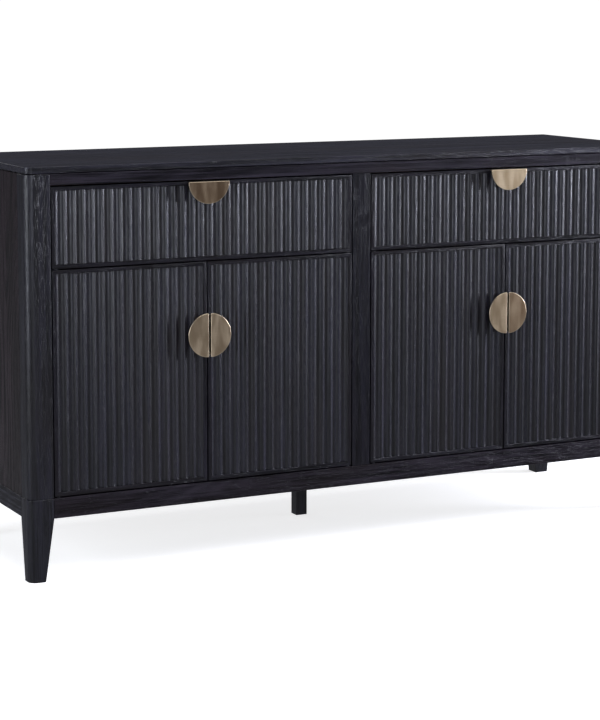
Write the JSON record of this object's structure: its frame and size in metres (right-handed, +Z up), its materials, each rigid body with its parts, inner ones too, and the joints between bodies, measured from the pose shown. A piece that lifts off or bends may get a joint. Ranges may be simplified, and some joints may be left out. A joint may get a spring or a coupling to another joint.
{
  "type": "sideboard buffet",
  "caption": "Low wide dining sideboard in black wire-brushed oak: fluted drawers over paired fluted doors, half-disc brass pulls, rounded front posts and a tapered-leg base.",
  "frame": {"origin": "centre of the footprint on the floor: the middle of the width, and of the depth from the handles' faces to the back", "axes": "+Z up, +X along the width to the right as seen from the front, fronts face -Y"},
  "size_m": [1.524, 0.4696, 0.848],
  "materials": {
    "black_oak": "wire-brushed oak veneer, near-black stain, satin lacquer",
    "antique_brass": "brushed antique brass, clear lacquered",
    "black_steel": "black zinc-plated steel plates and pins",
    "zinc_steel": "zinc-plated pressed steel",
    "drawer_wood": "clear-lacquered poplar drawer box"
  },
  "bodies": {
    "cabinet": {"top_slab": "black_oak", "front_left_post": "black_oak", "front_right_post": "black_oak", "back_left_post": "black_oak", "back_right_post": "black_oak", "left_side_panel": "black_oak", "right_side_panel": "black_oak", "front_top_rail": "black_oak", "back_top_rail": "black_oak", "centre_stile": "black_oak", "centre_back_stile": "black_oak", "centre_partition": "black_oak", "bottom_panel": "black_oak", "dividers": "black_oak", "back_panel": "black_oak", "shelves": "black_oak", "shelf_pins": "zinc_steel", "front_left_leg": "black_oak", "front_right_leg": "black_oak", "back_left_leg": "black_oak", "back_right_leg": "black_oak", "front_base_rail": "black_oak", "back_base_rail": "black_oak", "left_base_rail": "black_oak", "right_base_rail": "black_oak", "centre_base_rail": "black_oak", "centre_leg": "black_oak", "pivot_plates": "black_steel", "door_catches": "zinc_steel", "drawer_runners": "zinc_steel"},
    "left_drawer": {"left_drawer_border": "black_oak", "left_drawer_flutes": "black_oak", "left_drawer_handle": "antique_brass", "left_drawer_sides": "drawer_wood", "left_drawer_ends": "drawer_wood", "left_drawer_bottom": "drawer_wood", "left_drawer_slides": "zinc_steel"},
    "right_drawer": {"right_drawer_border": "black_oak", "right_drawer_flutes": "black_oak", "right_drawer_handle": "antique_brass", "right_drawer_sides": "drawer_wood", "right_drawer_ends": "drawer_wood", "right_drawer_bottom": "drawer_wood", "right_drawer_slides": "zinc_steel"},
    "left_outer_door": {"left_outer_door_border": "black_oak", "left_outer_door_flutes": "black_oak", "left_outer_door_handle": "antique_brass", "left_outer_door_fittings": "zinc_steel"},
    "left_inner_door": {"left_inner_door_border": "black_oak", "left_inner_door_flutes": "black_oak", "left_inner_door_handle": "antique_brass", "left_inner_door_fittings": "zinc_steel"},
    "right_inner_door": {"right_inner_door_border": "black_oak", "right_inner_door_flutes": "black_oak", "right_inner_door_handle": "antique_brass", "right_inner_door_fittings": "zinc_steel"},
    "right_outer_door": {"right_outer_door_border": "black_oak", "right_outer_door_flutes": "black_oak", "right_outer_door_handle": "antique_brass", "right_outer_door_fittings": "zinc_steel"}
  },
  "joints": [
    {"name": "left_drawer_slide", "type": "slide", "parent": "cabinet", "child": "left_drawer", "axis": [0, -1, 0], "range_m": [0, 0.3]},
    {"name": "right_drawer_slide", "type": "slide", "parent": "cabinet", "child": "right_drawer", "axis": [0, -1, 0], "range_m": [0, 0.3]},
    {"name": "left_outer_door_hinge", "type": "hinge", "parent": "cabinet", "child": "left_outer_door", "pos_m": [-0.698, -0.21475, 0.1715], "axis": [0, 0, -1], "range_deg": [0, 105]},
    {"name": "left_inner_door_hinge", "type": "hinge", "parent": "cabinet", "child": "left_inner_door", "pos_m": [-0.032, -0.21475, 0.1715], "axis": [0, 0, 1], "range_deg": [0, 90]},
    {"name": "right_inner_door_hinge", "type": "hinge", "parent": "cabinet", "child": "right_inner_door", "pos_m": [0.032, -0.21475, 0.1715], "axis": [0, 0, -1], "range_deg": [0, 90]},
    {"name": "right_outer_door_hinge", "type": "hinge", "parent": "cabinet", "child": "right_outer_door", "pos_m": [0.698, -0.21475, 0.1715], "axis": [0, 0, 1], "range_deg": [0, 105]}
  ]
}
